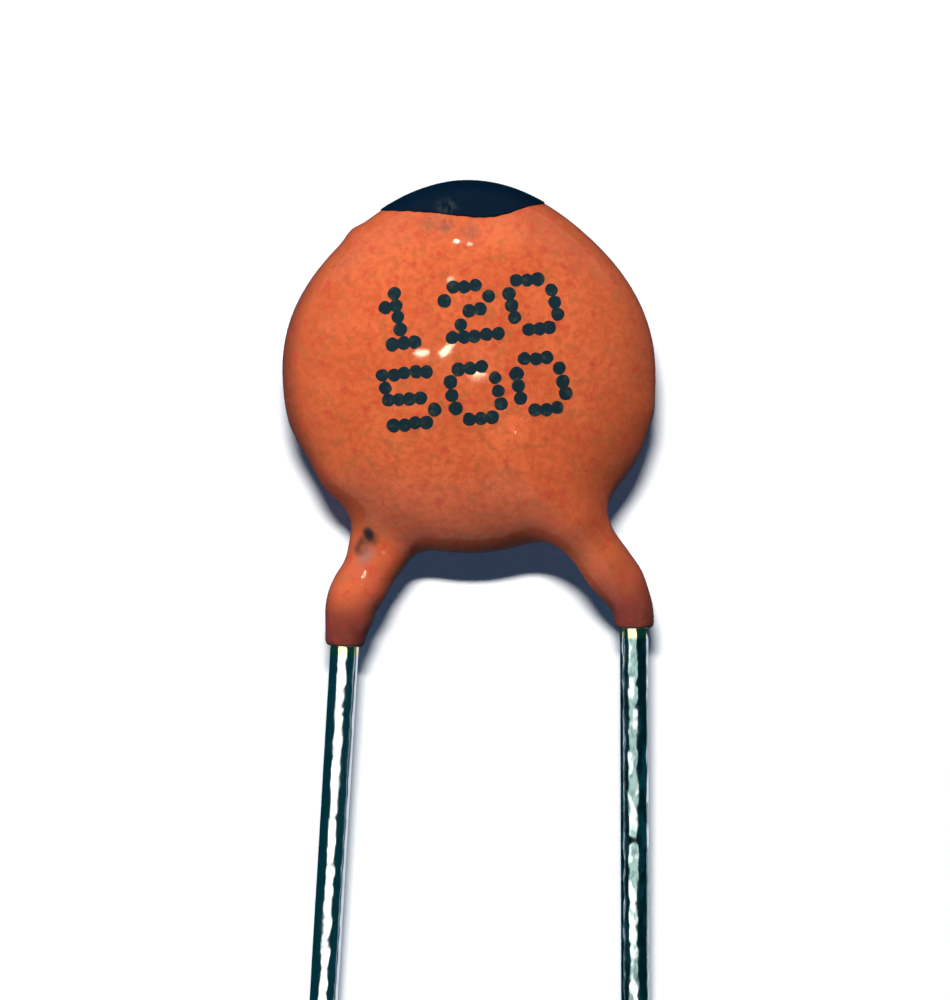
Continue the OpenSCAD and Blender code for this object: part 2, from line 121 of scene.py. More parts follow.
@dataclass(frozen=True)
class WireRoute:
    """Centreline of one lead. Stations are millimetres along the wire from the disc's centre."""

    side: Side
    kink_x: float
    splay: float
    coat_run: float
    wire_radius: float = 0.25
    kink_drop: float = 4.14
    kink_radius: float = 1.0
    overrun: float = 0.9
    reach: float = 24.5
    soldered_height: float = 0.465
    step_gap: float = 0.05
    step_angle: float = math.radians(20)
    step_radius: float = 0.8

    @property
    def leg_angle(self) -> float:
        """Slant of the leg from -Y, in radians."""
        return math.atan(self.kink_x / self.kink_drop)

    @property
    def lean(self) -> float:
        """Slant of the free wire from -Y, in radians."""
        return math.radians(self.splay)

    @property
    def tangent(self) -> float:
        """Distance from the corner of the kink to the ends of its bend."""
        return self.kink_radius * math.tan((self.leg_angle - self.lean) / 2)

    @property
    def kink_start(self) -> float:
        """Station where the kink's bend begins."""
        return math.hypot(self.kink_x, self.kink_drop) - self.tangent

    @property
    def kink_end(self) -> float:
        """Station where the kink's bend ends."""
        return self.kink_start + self.kink_radius * (self.leg_angle - self.lean)

    @property
    def coat_end(self) -> float:
        """Station where the coating ends."""
        return self.kink_end + self.coat_run / math.cos(self.lean) - self.tangent

    @property
    def tip(self) -> float:
        """Station of the cut end of the wire."""
        return self.kink_end + (self.reach - self.kink_drop) / math.cos(self.lean) - self.tangent

    def heading(self, s: np.ndarray) -> np.ndarray:
        """Slant of the wire from -Y at each station, in radians."""
        bent = self.leg_angle - (s - self.kink_start) / self.kink_radius
        return np.clip(bent, self.lean, self.leg_angle)

    def plan(self, s: np.ndarray) -> np.ndarray:
        """Outward and upward place of the centreline in plan, for each station."""
        leg, lean, turn = self.leg_angle, self.lean, self.heading(s)
        slanted = np.minimum(s, self.kink_start)
        hanging = np.maximum(s - self.kink_end, 0)
        bent_out = self.kink_radius * (np.cos(turn) - math.cos(leg))
        bent_up = self.kink_radius * (np.sin(turn) - math.sin(leg))
        outward = slanted * math.sin(leg) + bent_out + hanging * math.sin(lean)
        upward = -slanted * math.cos(leg) + bent_up - hanging * math.cos(lean)
        return np.stack([outward, upward], axis=-1)

    def height(self, s: np.ndarray) -> np.ndarray:
        """Height of the wire over the plane of the pair, towards its own face."""
        r, foot = self.step_radius, self.kink_start - self.step_gap
        arc = r * math.sin(self.step_angle)
        arc_rise = r * (1 - math.cos(self.step_angle))
        slope = (self.soldered_height - 2 * arc_rise) / math.tan(self.step_angle)
        run, whole = foot - s, 2 * arc + slope
        lower = r - np.sqrt(r * r - np.clip(run, 0, arc) ** 2)
        upper = self.soldered_height - r + np.sqrt(r * r - np.clip(whole - run, 0, arc) ** 2)
        middle = arc_rise + (run - arc) * math.tan(self.step_angle)
        return np.where(run <= arc, lower, np.where(run <= whole - arc, middle, upper))

    def points(self, s: np.ndarray) -> np.ndarray:
        """Points of the centreline in the disc's frame, for each station."""
        plan, sign = self.plan(s), self.side.value
        return np.stack([sign * plan[..., 0], plan[..., 1], sign * self.height(s)], axis=-1)

    def station(self, plan: np.ndarray) -> np.ndarray:
        """Station of the centreline abreast of each point.

        Args:
            plan: Outward and upward places of the points.

        Returns:
            One station a point.
        """
        leg, lean, r = self.leg_angle, self.lean, self.kink_radius
        slanted = plan @ np.array([math.sin(leg), -math.cos(leg)])
        hub = self.plan(np.array(self.kink_start)) - r * np.array([math.cos(leg), math.sin(leg)])
        turn = np.arctan2(plan[:, 1] - hub[1], plan[:, 0] - hub[0])
        bent = self.kink_start + r * (leg - np.clip(turn, lean, leg))
        down = np.array([math.sin(lean), -math.cos(lean)])
        past = (plan - self.plan(np.array(self.kink_end))) @ down
        below = np.where(past > 0, self.kink_end + past, bent)
        return np.where(slanted < self.kink_start, slanted, below)


@dataclass(frozen=True)
class Swell:
    """Soft rise, or dent if its height is negative, of the dipped skin, in millimetres."""

    x: float
    y: float
    reach: float
    height: float
    face: Side | None = None

    def lift(self, points: np.ndarray) -> np.ndarray:
        """How far the skin rises at each point."""
        away = np.hypot(points[:, 0] - self.x, points[:, 1] - self.y) / self.reach
        rise = self.height * np.exp(-away * away)
        return rise if self.face is None else rise * (points[:, 2] * self.face.value > 0)


@dataclass(frozen=True)
class DipForm:
    """Skin that a dip of resin forms over the disc and both legs, in millimetres."""

    front: WireRoute
    rear: WireRoute
    radius: float = 3.25
    thickness: float = 2.5
    fullness: float = 2.3
    lobe: float = 0.09
    flank: float = 0.14
    flank_angle: float = math.radians(-30)
    flank_narrowness: float = 16
    leg_coat: float = 0.19
    leg_end_coat: float = 0.1
    leg_taper: float = 1.6
    neck_blend: float = 0.75
    leg_root: float = 1.6
    lip: float = 0.12
    waviness: float = 0.006
    wave_noise: Pair = (0.9, 3.1)
    ripple: float = 0.0004
    ripple_noise: Pair = (0.28, 7.7)
    least_steep: float = 0.04
    swells: tuple[Swell, ...] = ()

    def rim(self, angle: np.ndarray) -> np.ndarray:
        """Radius of the rim at each angle from +X, in radians."""
        lobes = self.lobe * np.cos(4 * angle) * (1 + np.sin(angle)) / 2
        flank = self.flank * np.exp(self.flank_narrowness * (np.cos(angle - self.flank_angle) - 1))
        return self.radius + lobes + flank

    def disc(self, p: np.ndarray) -> np.ndarray:
        """Distance outside the dome of the disc."""
        r = np.maximum(np.hypot(p[:, 0], p[:, 1]), TINY)
        half = self.thickness / 2
        plan = (r / self.rim(np.arctan2(p[:, 1], p[:, 0]))) ** self.fullness
        level = np.sqrt(plan + (p[:, 2] / half) ** 2)
        slope = np.hypot(self.fullness * plan / r, 2 * p[:, 2] / half**2)
        return 2 * level * (level - 1) / np.maximum(slope, TINY)

    def leg(self, p: np.ndarray, route: WireRoute) -> np.ndarray:
        """Distance outside the coated wire of one leg, which begins under the dome."""
        sign = route.side.value
        plan = np.stack([sign * p[:, 0], p[:, 1]], axis=-1)
        s = np.maximum(route.station(plan), self.leg_root)
        aside = np.hypot(*(plan - route.plan(s)).T)
        lift = sign * p[:, 2] - route.height(s)
        thick = self.leg_coat - self.leg_end_coat
        coat = self.leg_end_coat + thick * smooth_step((route.coat_end - s) / self.leg_taper)
        round_wire = np.hypot(aside, lift) - route.wire_radius - coat
        return smooth_max(round_wire, s - route.coat_end, self.lip)

    def outside(self, p: np.ndarray) -> np.ndarray:
        """Distance outside the skin at each point."""
        one = smooth_min(self.disc(p), self.leg(p, self.front), self.neck_blend)
        both = smooth_min(one, self.leg(p, self.rear), self.neck_blend)
        return both - sum(swell.lift(p) for swell in self.swells)

    def slope(self, p: np.ndarray, step: float = 2e-3) -> np.ndarray:
        """How the distance grows along each axis, at each point."""
        columns = []
        for axis in np.eye(3):
            ahead, behind = self.outside(p + step * axis), self.outside(p - step * axis)
            columns.append((ahead - behind) / (2 * step))
        return np.stack(columns, axis=-1)

    def normals(self, p: np.ndarray) -> np.ndarray:
        """Outward directions of the skin near each point."""
        slope = self.slope(p)
        return slope / np.linalg.norm(slope, axis=1, keepdims=True)

    def settle(self, p: np.ndarray, film: float = 0.0, turns: int = 5) -> np.ndarray:
        """Moves points square to the skin until they lie on it.

        Args:
            p: Points near the skin.
            film: Height over the skin at which they settle.
            turns: Number of corrections.

        Returns:
            The settled points.
        """
        for _ in range(turns):
            slope = self.slope(p)
            steep = np.maximum((slope**2).sum(axis=1, keepdims=True), self.least_steep)
            p = p - (self.outside(p) - film)[:, None] * slope / steep
        return p

    def wave(self, p: np.ndarray) -> np.ndarray:
        """Lays settled points on the slight unevenness that the dip leaves."""
        waves = self.waviness * wavy(p, *self.wave_noise)
        ripples = self.ripple * wavy(p, *self.ripple_noise)
        return p + (waves + ripples)[:, None] * self.normals(p)


def coordinates(bm: BMesh) -> np.ndarray:
    """Places of a shape's vertices, one row each."""
    return np.array([vert.co for vert in bm.verts])


def place_vertices(bm: BMesh, points: np.ndarray) -> None:
    """Moves a shape's vertices to the given places."""
    for vert, point in zip(bm.verts, points):
        vert.co = point


def make_object(name: str, bm: BMesh, material: Material | None = None) -> bpy.types.Object:
    """Makes an object of a shape, which is freed, and hangs it in the scene."""
    mesh = bpy.data.meshes.new(name)
    bm.to_mesh(mesh)
    bm.free()
    if material is not None:
        mesh.materials.append(material)
    made = bpy.data.objects.new(name, mesh)
    bpy.context.scene.collection.objects.link(made)
    return made


def wavy(points: np.ndarray, grain: float, seed: float) -> np.ndarray:
    """Smooth noise from about -1 to 1 at each point, with grains of the given size."""
    return np.array([noise.noise(Vector(p) / grain + Vector((seed, seed, seed))) for p in points])


@dataclass(frozen=True)
class Piece:
    """One finished object of the part. Edges that turn by more than the crease are sharp."""

    name: str
    slot: str
    replaces: tuple[str, ...] = ()
    crease: float | None = None

    def finish(self, bm: BMesh, pose: DiscPose, material: Material) -> bpy.types.Object:
        """Makes the object, dresses it and binds it to the row.

        Args:
            bm: Shape in the disc's frame, in millimetres. It is freed.
            pose: Where the disc lies.
            material: Finish of the whole piece.

        Returns:
            The finished object.
        """
        bmesh.ops.transform(bm, matrix=pose.matrix(), verts=bm.verts)
        bmesh.ops.recalc_face_normals(bm, faces=bm.faces)
        made = make_object(self.name, bm, material)
        made.data.shade_smooth()
        if self.crease is not None:
            made.data.set_sharp_from_angle(angle=self.crease)
        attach(made, "root")
        if self.replaces:
            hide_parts(*self.replaces)
        LOG.info("%s: %d faces", self.name, len(made.data.polygons))
        return made


# ---- Finishes ----


def tone(red: int, green: int, blue: int) -> Colour:
    """Linear colour of a display colour given in steps of 255."""
    parts = [c / 255 for c in (red, green, blue)]
    linear = [c / 12.92 if c <= 0.04045 else ((c + 0.055) / 1.055) ** 2.4 for c in parts]
    return (linear[0], linear[1], linear[2], 1.0)


class NodeGraph:
    """Lays out shader nodes in one node tree."""

    def __init__(self, tree: bpy.types.NodeTree) -> None:
        """Starts on the tree of a material or of the world."""
        self.tree = tree

    def node(self, kind: str, inputs: dict, **settings: object) -> bpy.types.Node:
        """Adds a node.

        Args:
            kind: Blender's name of the node's type.
            inputs: A value or an output socket for each named or numbered input.
            **settings: Attributes to set on the node.

        Returns:
            The new node.
        """
        made = self.tree.nodes.new(kind)
        for name, value in settings.items():
            setattr(made, name, value)
        for name, value in inputs.items():
            if isinstance(value, Socket):
                self.tree.links.new(value, made.inputs[name])
            else:
                made.inputs[name].default_value = value
        return made

    def span(
        self, value: Socket, low: float, high: float, to_low: float = 0.0, to_high: float = 1.0
    ) -> Socket:
        """Maps a range smoothly onto another and clamps it."""
        inputs = {"Value": value, "From Min": low, "From Max": high}
        inputs.update({"To Min": to_low, "To Max": to_high})
        return self.node("ShaderNodeMapRange", inputs, interpolation_type="SMOOTHSTEP").outputs[0]

    def mix(self, share: object, first: object, second: object) -> Socket:
        """Blends two colours by a share from 0 to 1."""
        inputs = {"Factor": share, 6: first, 7: second}
        return self.node("ShaderNodeMix", inputs, data_type="RGBA").outputs[2]

    def calc(self, operation: str, first: object, second: object = 0.0) -> Socket:
        """Combines two numbers."""
        return self.node("ShaderNodeMath", {0: first, 1: second}, operation=operation).outputs[0]


class Surface(NodeGraph):
    """Lays out one procedural material that reads Object coordinates."""

    def __init__(self, name: str) -> None:
        """Starts a material with a single shader."""
        self.material = bpy.data.materials.new(name)
        self.material.use_nodes = True
        super().__init__(self.material.node_tree)
        self.tree.nodes.clear()
        self.shader = self.tree.nodes.new("ShaderNodeBsdfPrincipled")
        end = self.tree.nodes.new("ShaderNodeOutputMaterial")
        self.tree.links.new(self.shader.outputs[0], end.inputs["Surface"])
        self.position = self.tree.nodes.new("ShaderNodeTexCoord").outputs["Object"]

    def values(self, **values: float) -> None:
        """Sets numbers of the shader, with spaces of their names written as underscores."""
        for name, value in values.items():
            self.shader.inputs[name.replace("_", " ")].default_value = value

    def drive(self, name: str, socket: Socket) -> None:
        """Feeds one input of the shader."""
        self.tree.links.new(socket, self.shader.inputs[name])

    def stretched(self, turn: Triple, stretch: Triple) -> Socket:
        """Object coordinates turned, then drawn out along their own axes."""
        turned = self.node("ShaderNodeMapping", {"Vector": self.position, "Rotation": turn})
        squeeze = {"Vector": turned.outputs[0], "Scale": tuple(1 / s for s in stretch)}
        return self.node("ShaderNodeMapping", squeeze).outputs[0]

    def grain(self, size: float, detail: float, rough: float, at: Socket | None = None) -> Socket:
        """Noise from 0 to 1 with grains of a size in millimetres."""
        spot = self.position if at is None else at
        inputs = {"Vector": spot, "Scale": 1 / (size * MM), "Detail": detail, "Roughness": rough}
        return self.node("ShaderNodeTexNoise", inputs).outputs[0]

    def gap(self, point: np.ndarray) -> Socket:
        """Distance in metres from a point of the row."""
        inputs = {0: self.position, 1: tuple(float(c) for c in point)}
        return self.node("ShaderNodeVectorMath", inputs, operation="DISTANCE").outputs["Value"]

    def near(self, point: np.ndarray, full: float, gone: float) -> Socket:
        """Runs from 1 close to a point of the row down to 0, with both distances in millimetres."""
        return self.span(self.gap(point), full * MM, gone * MM, 1.0, 0.0)


@dataclass(frozen=True)
class Clouds:
    """Noise with grains of a size in millimetres. Its levels from low to high are spread out."""

    size: float
    detail: float
    rough: float
    low: float
    high: float
    least: float = 0.0
    most: float = 1.0

    def share(self, g: Surface, at: Socket | None = None) -> Socket:
        """Runs from the least to the most, over the surface or over other coordinates."""
        levels = g.grain(self.size, self.detail, self.rough, at)
        return g.span(levels, self.low, self.high, self.least, self.most)


@dataclass(frozen=True)
class Relief:
    """Fine unevenness of a surface, with a grain and a depth in millimetres."""

    size: float
    detail: float
    rough: float
    depth: float

    def over(self, g: Surface, at: Socket | None = None, under: Socket | None = None) -> Socket:
        """Bumps the surface, over an earlier bump if one is given."""
        height = g.grain(self.size, self.detail, self.rough, at)
        inputs = {"Height": height, "Distance": self.depth * MM, "Strength": 1.0}
        if under is not None:
            inputs["Normal"] = under
        return g.node("ShaderNodeBump", inputs).outputs[0]


@dataclass(frozen=True)
class Spot:
    """Round spot of paint on the coat, in millimetres of the disc's frame."""

    place: Triple
    full: float
    gone: float
    strength: float

    def share(self, g: Surface, pose: DiscPose) -> Socket:
        """Share of the paint, from its strength in the middle down to 0."""
        here = g.near(pose.to_row(np.array(self.place)), self.full, self.gone)
        return g.calc("MULTIPLY", here, self.strength)


@dataclass(frozen=True)
class DippedResin:
    """Orange resin of the dip: satin, mottled, speckled and redder where it thins on the legs, with
    painted shade on its rim and legs and painted light in three spots.
    """

    light: Colour = tone(230, 112, 66)
    # Painted light: paler orange for three lit spots
    pale: Colour = tone(240, 118, 68)
    deep: Colour = tone(208, 91, 50)
    olive: Colour = tone(184, 102, 56)
    red: Colour = tone(202, 72, 52)
    # Painted shade: browner orange that darkens the outer rim all round
    rim: Colour = tone(176, 82, 50)
    # Painted shade: dark brown on the outermost rim, mostly on the left
    left_rim_shade: Colour = tone(112, 52, 38)
    # Redder, darker orange down the legs: the thinner coat's own tone together with painted shade
    leg: Colour = tone(206, 94, 64)
    # Dark brown at the coat's ends: painted shade together with the thinner coat's browner tone
    foot: Colour = tone(100, 44, 44)
    fleck: Colour = tone(120, 52, 34)
    scuff: Colour = tone(158, 112, 98)
    grime: Colour = tone(74, 52, 44)
    # Painted shade: near-black in the small dent of the pit
    pit: Colour = tone(34, 36, 42)
    smear: Colour = tone(120, 84, 62)
    clouds: Clouds = Clouds(0.9, 3.0, 0.5, 0.38, 0.62, most=0.4)
    mottle: Clouds = Clouds(0.12, 4.0, 0.62, 0.36, 0.64, most=0.6)
    olive_clouds: Clouds = Clouds(0.24, 3.0, 0.6, 0.51, 0.7, most=0.6)
    red_clouds: Clouds = Clouds(0.22, 3.0, 0.6, 0.52, 0.7, most=0.65)
    red_turn: Triple = (0.4, 0.9, 0.3)
    flecks: Clouds = Clouds(0.09, 2.0, 0.5, 0.62, 0.78, most=0.3)
    soft_edge: Clouds = Clouds(0.14, 3.0, 0.6, 0.2, 0.75, least=0.2)
    worn_edge: Clouds = Clouds(0.1, 3.0, 0.6, 0.3, 0.66)
    gloss: Clouds = Clouds(0.2, 3.0, 0.5, 0.3, 0.7, 0.4, 0.56)
    peel: Relief = Relief(0.34, 2.0, 0.5, 0.006)
    pores: Relief = Relief(0.07, 3.0, 0.6, 0.003)
    gloss_peel: Relief = Relief(0.13, 2.0, 0.6, 0.0004)
    # Reach in metres from the middle, and greatest share, of the painted rim shade
    rim_shade_reach: Pair = (2.2 * MM, 3.3 * MM)
    rim_shade_most: float = 0.42
    # Reach in metres, side in millimetres and greatest share of the painted left-rim shade
    left_rim_shade_reach: Pair = (3.0 * MM, 3.26 * MM)
    left_rim_shade_side: Pair = (-3.1, -1.6)
    left_rim_shade_most: float = 0.62
    leg_tone_and_shade_levels: Pair = (-4.0, -2.9)
    leg_tone_and_shade_most: float = 0.85
    foot_tone_and_shade_spot: Triple = (0.3, 1.25, 0.6)
    # Painted light: lit spots on the right leg, the left leg and under the crown
    painted_light_spots: tuple[Spot, ...] = (
        Spot((2.28, -3.3, 0.35), 0.1, 0.7, 0.8),
        Spot((-2.1, -4.0, 0.3), 0.1, 0.45, 0.5),
        Spot((0.55, 2.39, 0.9), 0.1, 0.6, 0.6),
    )
    scuff_spots: tuple[Spot, ...] = (
        Spot((-1.78, -3.22, 0.26), 0.05, 0.24, 0.8),
        Spot((-1.85, -3.36, 0.28), 0.03, 0.2, 0.6),
    )
    grime_spots: tuple[Spot, ...] = (
        Spot((-1.92, -3.15, 0.19), 0.05, 0.22, 0.95),
        Spot((-1.86, -2.98, 0.21), 0.03, 0.2, 0.7),
        Spot((-1.7, -2.98, 0.27), 0.05, 0.2, 0.8),
    )
    # Painted shade of the pit, on its dent
    pit_spots: tuple[Spot, ...] = (
        Spot((-1.78, -2.88, 0.26), 0.05, 0.15, 0.95),
        Spot((-1.74, -2.96, 0.26), 0.03, 0.12, 0.9),
    )
    smear_spots: tuple[Spot, ...] = (
        Spot((-0.68, 2.64, 0.75), 0.05, 0.26, 0.5),
        Spot((-0.38, 2.57, 0.82), 0.05, 0.22, 0.75),
        Spot((0.03, 2.47, 0.89), 0.05, 0.24, 0.5),
        Spot((-2.25, 1.9, 0.5), 0.02, 0.35, 0.3),
    )

    def build(self, pose: DiscPose, form: DipForm) -> Material:
        """Builds the material over the posed coating."""
        g = Surface("dipped_resin")
        ends = (route.points(np.array(route.coat_end)) for route in (form.front, form.rear))
        # Painted shade, with the thin coat's browner tone, at both coat ends, laid under and over
        # the mottle
        foot_tone_and_shade_spots = tuple(Spot(tuple(end), *self.foot_tone_and_shade_spot) for end in ends)
        colour = self._paint(g, pose, self._body(g, pose), foot_tone_and_shade_spots, self.foot)
        # Painted light over the three lit spots
        colour = self._paint(g, pose, colour, self.painted_light_spots, self.pale)
        colour = self._paint(g, pose, self._mottle(g, colour), foot_tone_and_shade_spots, self.foot)
        soft, worn = self.soft_edge.share(g), self.worn_edge.share(g)
        marks = (
            (self.scuff_spots, self.scuff, soft),
            (self.grime_spots, self.grime, soft),
            (self.pit_spots, self.pit, 1.0),
            (self.smear_spots, self.smear, worn),
        )
        for spots, paint, cover in marks:
            colour = self._paint(g, pose, colour, spots, paint, cover)
        g.drive("Base Color", colour)
        g.drive("Roughness", self.gloss.share(g))
        g.values(Coat_Weight=1.0, Coat_Roughness=0.06, Coat_IOR=1.45)
        g.values(IOR=1.45, Specular_IOR_Level=0.2)
        g.drive("Normal", self.pores.over(g, under=self.peel.over(g)))
        g.drive("Coat Normal", self.gloss_peel.over(g))
        return g.material

    def _body(self, g: Surface, pose: DiscPose) -> Socket:
        """Cloudy orange with painted shade towards the rim, most on the left, and a redder tone
        down the legs that is partly painted shade.
        """
        share = g.calc("ADD", self.clouds.share(g), self.mottle.share(g))
        colour = g.mix(share, self.light, self.deep)
        away = g.gap(pose.to_row(np.zeros(3)))
        # Painted shade, growing towards the rim
        colour = g.mix(g.span(away, *self.rim_shade_reach, 0.0, self.rim_shade_most), colour, self.rim)
        place = g.node("ShaderNodeSeparateXYZ", {0: g.position}).outputs
        # Painted shade on the outermost rim, strongest on the left
        far, near = (float(pose.to_row(np.array([x, 0, 0]))[0]) for x in self.left_rim_shade_side)
        left = g.span(place["X"], far, near, self.left_rim_shade_most, 0.0)
        left_rim_shade = g.calc("MULTIPLY", g.span(away, *self.left_rim_shade_reach), left)
        colour = g.mix(left_rim_shade, colour, self.left_rim_shade)
        # Redder and darker down the legs: the thinner coat's tone together with painted shade
        calf, shoulder = (float(pose.to_row(np.array([0, y, 0]))[1]) for y in self.leg_tone_and_shade_levels)
        return g.mix(g.span(place["Y"], calf, shoulder, self.leg_tone_and_shade_most, 0.0), colour, self.leg)

    def _mottle(self, g: Surface, colour: Socket) -> Socket:
        """Adds olive and red clouds and small dark flecks."""
        turned = g.stretched(self.red_turn, (1.0, 1.0, 1.0))
        colour = g.mix(self.olive_clouds.share(g), colour, self.olive)
        colour = g.mix(self.red_clouds.share(g, turned), colour, self.red)
        return g.mix(self.flecks.share(g), colour, self.fleck)

    def _paint(
        self,
        g: Surface,
        pose: DiscPose,
        under: Socket,
        spots: tuple[Spot, ...],
        paint: Colour,
        cover: Socket | float = 1.0,
    ) -> Socket:
        """Paints spots over a colour, broken up by a cover that runs from 0 to 1."""
        for spot in spots:
            under = g.mix(g.calc("MULTIPLY", spot.share(g, pose), cover), under, paint)
        return under


@dataclass(frozen=True)
class CapInk:
    """Satin blue-black ink over the crown, thin and greyish where it was smeared."""

    body: Colour = tone(2, 22, 40)
    thin: Colour = tone(44, 54, 58)
    smeared: Spot = Spot((-0.38, 2.86, 0.6), 0.04, 0.3, 1.0)
    streaks: Clouds = Clouds(0.1, 3.0, 0.6, 0.44, 0.6)
    streak_turn: Triple = (0.0, 0.0, 0.1)
    streak_stretch: Triple = (1.0, 3.0, 1.0)
    gloss: Clouds = Clouds(0.12, 3.0, 0.5, 0.3, 0.7, 0.34, 0.5)
    tooth: Relief = Relief(0.2, 3.0, 0.5, 0.005)

    def build(self, pose: DiscPose) -> Material:
        """Builds the material over the posed disc."""
        g = Surface("cap_ink")
        streaks = self.streaks.share(g, g.stretched(self.streak_turn, self.streak_stretch))
        worn = g.calc("MULTIPLY", self.smeared.share(g, pose), streaks)
        g.drive("Base Color", g.mix(worn, self.body, self.thin))
        g.drive("Roughness", self.gloss.share(g))
        g.values(IOR=1.48, Specular_IOR_Level=0.14)
        g.drive("Normal", self.tooth.over(g))
        return g.material


@dataclass(frozen=True)
class TinnedSteel:
    """Bright tinned wire with drawn streaks, patches where the tin lies unevenly, and a painted
    warm glint where it leaves the coat.
    """

    name: str
    lean: float
    patchiness: float
    coat_end: Triple
    bright: Colour = tone(216, 224, 222)
    dull: Colour = tone(112, 144, 136)
    dark: Colour = tone(56, 92, 96)
    # Painted highlight: warm glint on the wire right at the coat's end
    painted_glint_tone: Colour = tone(255, 238, 176)
    painted_glint_reach: Pair = (0.262, 0.32)
    stretches: Triple = (4.0, 2.2, 1.2)
    patches: Clouds = Clouds(0.2, 2.0, 0.5, 0.38, 0.54)
    flaws: Clouds = Clouds(0.11, 3.0, 0.6, 0.46, 0.68, most=0.85)
    gloss: Clouds = Clouds(0.2, 3.0, 0.6, 0.35, 0.7, 0.1, 0.2)
    drawn: Relief = Relief(0.13, 2.0, 0.5, 0.004)
    waves: Relief = Relief(0.22, 0.0, 0.5, 0.024)
    dents: Relief = Relief(0.6, 1.0, 0.5, 0.03)

    def build(self) -> Material:
        """Builds the material for a wire that leans in plan by the lean in radians."""
        g = Surface(self.name)
        turn = (0.0, 0.0, self.lean)
        along, blotches, ripples = (g.stretched(turn, (1.0, far, 1.0)) for far in self.stretches)
        patches = replace(self.patches, most=self.patchiness).share(g, blotches)
        flaws = g.mix(self.flaws.share(g, blotches), self.dull, self.dark)
        colour = g.mix(patches, self.bright, flaws)
        # Painted highlight around the coat's end
        painted_glint_share = g.near(np.array(self.coat_end), *self.painted_glint_reach)
        g.drive("Base Color", g.mix(painted_glint_share, colour, self.painted_glint_tone))
        g.values(Metallic=1.0)
        g.drive("Roughness", self.gloss.share(g, along))
        waves = self.waves.over(g, ripples, self.drawn.over(g, along))
        dents = replace(self.dents, depth=self.dents.depth * self.patchiness)
        g.drive("Normal", dents.over(g, blotches, waves))
        return g.material


@dataclass(frozen=True)
class GrainedFinish:
    """Finish in two tones, with an uneven gloss and a fine grain."""

    name: str
    light: Colour
    shade: Colour
    patches: Clouds
    gloss: Clouds
    tooth: Relief
    metallic: float = 0.0
    specular: float = 0.5

    def build(self) -> Material:
        """Builds the material."""
        g = Surface(self.name)
        g.drive("Base Color", g.mix(self.patches.share(g), self.light, self.shade))
        g.values(Metallic=self.metallic, Specular_IOR_Level=self.specular)
        g.drive("Roughness", self.gloss.share(g))
        g.drive("Normal", self.tooth.over(g))
        return g.material


DOT_INK = GrainedFinish(
    name="dot_ink",
    light=tone(20, 42, 50),
    shade=tone(50, 62, 60),
    patches=Clouds(0.12, 3.0, 0.6, 0.5, 0.72),
    gloss=Clouds(0.08, 2.0, 0.5, 0.3, 0.7, 0.5, 0.7),
    tooth=Relief(0.06, 2.0, 0.5, 0.002),
    specular=0.3,
)
SOLDER_METAL = GrainedFinish(
    name="solder_metal",
    light=tone(190, 194, 198),
    shade=tone(140, 145, 150),
    patches=Clouds(0.15, 3.0, 0.5, 0.4, 0.6),
    gloss=Clouds(0.1, 3.0, 0.5, 0.3, 0.7, 0.28, 0.42),
    tooth=Relief(0.12, 3.0, 0.5, 0.004),
    metallic=1.0,
)
FIRED_SILVER = GrainedFinish(
    name="fired_silver",
    light=tone(226, 224, 216),
    shade=tone(196, 192, 184),
    patches=Clouds(0.08, 3.0, 0.5, 0.35, 0.65),
    gloss=Clouds(0.05, 2.0, 0.5, 0.3, 0.7, 0.45, 0.6),
    tooth=Relief(0.03, 2.0, 0.5, 0.002),
    metallic=0.9,
)
FIRED_CERAMIC = GrainedFinish(
    name="fired_ceramic",
    light=tone(232, 224, 204),
    shade=tone(206, 192, 164),
    patches=Clouds(0.3, 4.0, 0.6, 0.35, 0.65),
    gloss=Clouds(0.08, 2.0, 0.5, 0.3, 0.7, 0.5, 0.7),
    tooth=Relief(0.04, 3.0, 0.5, 0.003),
)


@dataclass(frozen=True)
class Paper:
    """White paper under the part. It looks white, and throws back little light from below."""

    white: Colour = (0.97, 0.97, 0.97, 1.0)
    thrown: Colour = (0.2, 0.2, 0.21, 1.0)
    veil: Colour = (0.004, 0.028, 0.062, 1.0)

    def build(self) -> Material:
        """Builds the material."""
        g = Surface("paper")
        path = g.node("ShaderNodeLightPath", {}).outputs
        seen = g.calc("ADD", path["Is Camera Ray"], path["Is Glossy Ray"])
        seen = g.calc("MINIMUM", g.calc("ADD", seen, path["Is Transmission Ray"]), 1.0)
        g.drive("Base Color", g.mix(seen, self.thrown, self.white))
        g.drive("Emission Strength", seen)
        g.values(Roughness=0.9, Specular_IOR_Level=0.0, Emission_Color=self.veil)
        return g.material


@dataclass(frozen=True)
class FlagCloth:
    """Dark blue-green cloth of a card that only reflections see."""

    shade: Colour = tone(6, 62, 72)
    nap: Colour = tone(4, 50, 66)
    weave: Triple = (2.0, 2.0, 0.5)

    def build(self) -> Material:
        """Builds the material."""
        g = Surface("flag_cloth")
        g.drive("Emission Color", g.mix(g.grain(*self.weave), self.shade, self.nap))
        g.values(Base_Color=(0.0, 0.0, 0.0, 1.0), Roughness=1.0)
        g.values(Specular_IOR_Level=0.0, Emission_Strength=1.0)
        return g.material


# ---- Sub-assemblies ----


